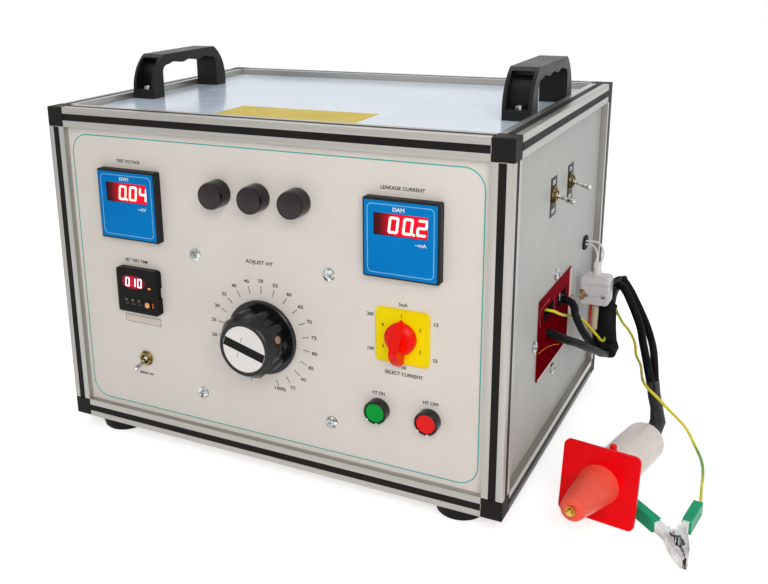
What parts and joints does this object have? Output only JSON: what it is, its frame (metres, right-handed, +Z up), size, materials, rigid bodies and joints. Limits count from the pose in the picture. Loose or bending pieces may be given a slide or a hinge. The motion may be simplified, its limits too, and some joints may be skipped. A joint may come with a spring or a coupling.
{
  "type": "high voltage tester",
  "caption": "Bench high voltage tester: profile-framed case with meters, timer, dial, selector, lamps and switches, a probe gun on its cable and an earth clip.",
  "frame": {"origin": "on the floor, in the middle of the space taken by the case with its knob and by the probe gun beside it", "axes": "+X to the operator's right, +Y from the front panel to the back, +Z up"},
  "size_m": [0.6431, 0.3884, 0.397],
  "materials": {
    "alu_profile": "satin anodised",
    "black_block": "matte",
    "black_strip": "satin",
    "front_sheet": "satin",
    "side_sheet": "satin",
    "top_sheet": "gloss",
    "handle_black": "satin",
    "rubber": "matte",
    "steel": "zinc plated",
    "meter_case": "gloss",
    "counter_case": "satin",
    "red_window": "gloss",
    "key_grey": "satin",
    "key_orange": "lit",
    "gloss_black": "gloss",
    "lens_red": "gloss",
    "cast_base": "painted",
    "copper_coil": "enamelled wire",
    "disc_white": "gloss",
    "plate_yellow": "satin",
    "handle_red": "gloss",
    "cap_green": "gloss",
    "cap_red": "gloss",
    "plate_maroon": "gloss",
    "core_steel": "varnished",
    "board": "satin",
    "ivory": "gloss",
    "cone_orange": "gloss",
    "brass": "turned",
    "nickel": "nickel plated",
    "nylon": "translucent",
    "cable_black": "matte",
    "earth_yellow": "satin",
    "wire_white": "satin"
  },
  "bodies": {
    "case": {"frame_posts": "alu_profile", "frame_rails": "alu_profile", "cover_strips": "black_strip", "corner_blocks": "black_block", "front_panel": "front_sheet", "back_panel": "side_sheet", "left_panel": "side_sheet", "right_panel": "side_sheet", "top_panel": "top_sheet", "bottom_panel": "side_sheet", "handles": "handle_black", "feet": "rubber", "case_bolts": "steel", "meter_housings": "meter_case", "counter_housing": "counter_case", "display_windows": "red_window", "lamp_holders": "gloss_black", "lamp_lenses": "lens_red", "ring_nuts": "black_block", "transformer_base": "cast_base", "transformer_coil": "copper_coil", "panel_screws": "steel", "selector_plate": "plate_yellow", "selector_body": "gloss_black", "toggle_bodies": "black_block", "toggle_nuts": "steel", "button_housings": "gloss_black", "terminal_plate": "plate_maroon", "terminal_unit": "black_block", "cable_grommet": "rubber", "hv_transformer": "core_steel", "control_board": "board", "mains_inlet": "black_block", "gun_body": "ivory", "gun_guard": "cone_orange", "gun_tip": "brass", "gun_switch": "nickel", "clip_fixed_jaw": "nickel", "clip_spring": "steel", "terminal_block": "nylon", "hv_cable": "cable_black", "control_cable": "cable_black", "earth_wire": "earth_yellow", "signal_wires": "wire_white"},
    "dial": {"dial_shaft": "steel", "brush_arm": "counter_case", "dial_knob": "gloss_black", "dial_disc": "disc_white"},
    "selector": {"selector_handle": "handle_red"},
    "power_lever": {"power_lever": "steel"},
    "side_lever_1": {"side_lever_1": "steel"},
    "side_lever_2": {"side_lever_2": "steel"},
    "start_button": {"start_button": "cap_green"},
    "stop_button": {"stop_button": "cap_red"},
    "setting_key_1": {"setting_key_1": "key_grey"},
    "setting_key_2": {"setting_key_2": "key_grey"},
    "setting_key_3": {"setting_key_3": "key_grey"},
    "reset_key": {"reset_key": "key_orange"},
    "trigger_button": {"trigger_button": "handle_red"},
    "clip_jaw": {"clip_moving_jaw": "nickel"}
  },
  "joints": [
    {"name": "dial_turn", "type": "hinge", "parent": "case", "child": "dial", "pos_m": [-0.05207, -0.1592, 0.1445], "axis": [0, 1, 0], "range_deg": [0, 324.6]},
    {"name": "selector_turn", "type": "hinge", "parent": "case", "child": "selector", "pos_m": [0.09493, -0.1592, 0.1706], "axis": [0, 1, 0], "range_deg": [0, 300]},
    {"name": "power_switch", "type": "hinge", "parent": "case", "child": "power_lever", "pos_m": [-0.19707, -0.1602, 0.095], "axis": [-1, 0, 0], "range_deg": [0, 30]},
    {"name": "side_switch_1", "type": "hinge", "parent": "case", "child": "side_lever_1", "pos_m": [0.18733, -0.0168, 0.277], "axis": [0, -1, 0], "range_deg": [0, 30]},
    {"name": "side_switch_2", "type": "hinge", "parent": "case", "child": "side_lever_2", "pos_m": [0.18733, 0.0462, 0.277], "axis": [0, -1, 0], "range_deg": [0, 30]},
    {"name": "start_press", "type": "slide", "parent": "case", "child": "start_button", "axis": [0, 1, 0], "range_m": [0, 0.0035], "stiffness_N_per_m": 400, "springref_m": -0.002},
    {"name": "stop_press", "type": "slide", "parent": "case", "child": "stop_button", "axis": [0, 1, 0], "range_m": [0, 0.0035], "stiffness_N_per_m": 400, "springref_m": -0.002},
    {"name": "setting_press_1", "type": "slide", "parent": "case", "child": "setting_key_1", "axis": [0, 1, 0], "range_m": [0, 0.0008], "stiffness_N_per_m": 900, "springref_m": -0.0006},
    {"name": "setting_press_2", "type": "slide", "parent": "case", "child": "setting_key_2", "axis": [0, 1, 0], "range_m": [0, 0.0008], "stiffness_N_per_m": 900, "springref_m": -0.0006},
    {"name": "setting_press_3", "type": "slide", "parent": "case", "child": "setting_key_3", "axis": [0, 1, 0], "range_m": [0, 0.0008], "stiffness_N_per_m": 900, "springref_m": -0.0006},
    {"name": "reset_press", "type": "slide", "parent": "case", "child": "reset_key", "axis": [0, 1, 0], "range_m": [0, 0.0008], "stiffness_N_per_m": 900, "springref_m": -0.0006},
    {"name": "trigger_press", "type": "slide", "parent": "case", "child": "trigger_button", "axis": [-0.0163, -0.1161, -0.9931], "range_m": [0, 0.002], "stiffness_N_per_m": 500, "springref_m": -0.002},
    {"name": "clip_open", "type": "hinge", "parent": "case", "child": "clip_jaw", "pos_m": [0.33093, -0.1118, 0], "axis": [0, 0, -1], "range_deg": [0, 28], "stiffness_Nm_per_rad": 0.6, "springref_deg": -20.05}
  ]
}
